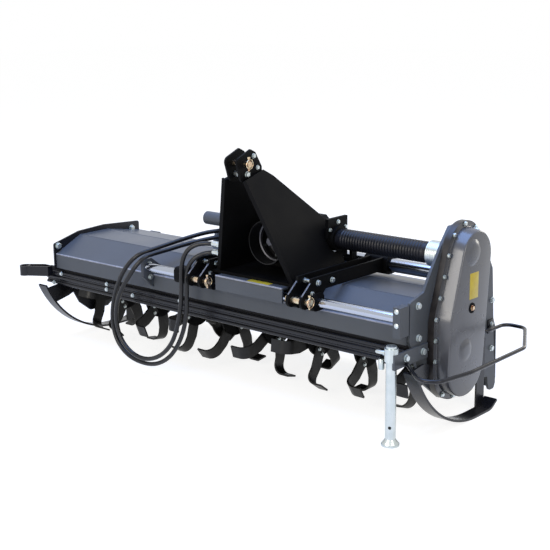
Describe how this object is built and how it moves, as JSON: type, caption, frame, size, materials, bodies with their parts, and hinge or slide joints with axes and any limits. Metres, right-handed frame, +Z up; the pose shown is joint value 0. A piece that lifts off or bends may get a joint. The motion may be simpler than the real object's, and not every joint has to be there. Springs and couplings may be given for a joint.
{
  "type": "rotary tiller",
  "caption": "Rotary tiller with a side-shifting A-frame headstock on guide tubes, a gear case at one end, curved tines on a flanged rotor, skids and a parking stand.",
  "frame": {"origin": "on the ground, at the middle of the machine's bounding box seen from above", "axes": "+X along the rotor to the gear-case end, -Y forward to the tractor, +Z up"},
  "size_m": [2.569, 0.8758, 1.097],
  "materials": {
    "grey_paint": "semi-gloss grey coat",
    "black_paint": "matte black coat",
    "tine_steel": "dipped black forging",
    "chrome": "hard chrome",
    "zinc": "bright zinc",
    "gold_zinc": "yellow zinc",
    "black_plastic": "moulded",
    "rubber": "matte"
  },
  "bodies": {
    "frame": {"hood": "grey_paint", "front_beam": "grey_paint", "left_end_plate": "grey_paint", "rotor_bearing": "grey_paint", "right_side_plate": "grey_paint", "gear_housing": "grey_paint", "gear_cover": "grey_paint", "drive_collar": "zinc", "front_guide_tube": "chrome", "rear_guide_tube": "chrome", "front_tube_bracket": "grey_paint", "rear_tube_bracket": "grey_paint", "right_tube_bracket": "grey_paint", "front_rail": "black_paint", "skid_left": "black_paint", "skid_right": "black_paint", "hoop_guard": "black_paint", "stand_bracket": "grey_paint", "spare_bracket": "black_paint", "tail_hinge": "grey_paint", "cylinder_rod": "chrome"},
    "headstock": {"arm_left": "black_paint", "arm_right": "black_paint", "base_plate": "black_paint", "front_crossbeam": "grey_paint", "mast_plate_left": "black_paint", "mast_plate_right": "black_paint", "top_hitch": "black_paint", "top_link_pin": "gold_zinc", "lower_pin_left": "gold_zinc", "lower_pin_right": "gold_zinc", "gearbox": "black_paint", "shaft_cover": "grey_paint", "pto_guard": "black_plastic", "cylinder_barrel": "black_paint", "hose_low": "rubber", "hose_high": "rubber", "bellows": "rubber"},
    "pto_shaft": {"pto_shaft": "zinc"},
    "rotor": {"rotor_shaft": "black_paint", "tines_left": "tine_steel", "tines_right": "tine_steel"},
    "tailboard": {"tailboard": "grey_paint"},
    "stand": {"stand": "zinc"}
  },
  "joints": [
    {"name": "side_shift", "type": "slide", "parent": "frame", "child": "headstock", "axis": [1, 0, 0], "range_m": [-0.13, 0.3], "deforming": ["bellows"]},
    {"name": "pto_spin", "type": "hinge", "parent": "headstock", "child": "pto_shaft", "pos_m": [0.26, -0.16, 0.685], "axis": [0, -1, 0], "continuous": true},
    {"name": "rotor_spin", "type": "hinge", "parent": "frame", "child": "rotor", "pos_m": [0, 0, 0.255], "axis": [1, 0, 0], "continuous": true},
    {"name": "tailboard_swing", "type": "hinge", "parent": "frame", "child": "tailboard", "pos_m": [0, 0.32, 0.474], "axis": [1, 0, 0], "range_deg": [0, 60]},
    {"name": "stand_slide", "type": "slide", "parent": "frame", "child": "stand", "axis": [0, 0, 1], "range_m": [0, 0.22]}
  ],
  "couplings": [
    {"joint": "pto_spin", "follows": "rotor_spin", "ratio": 2.35}
  ]
}
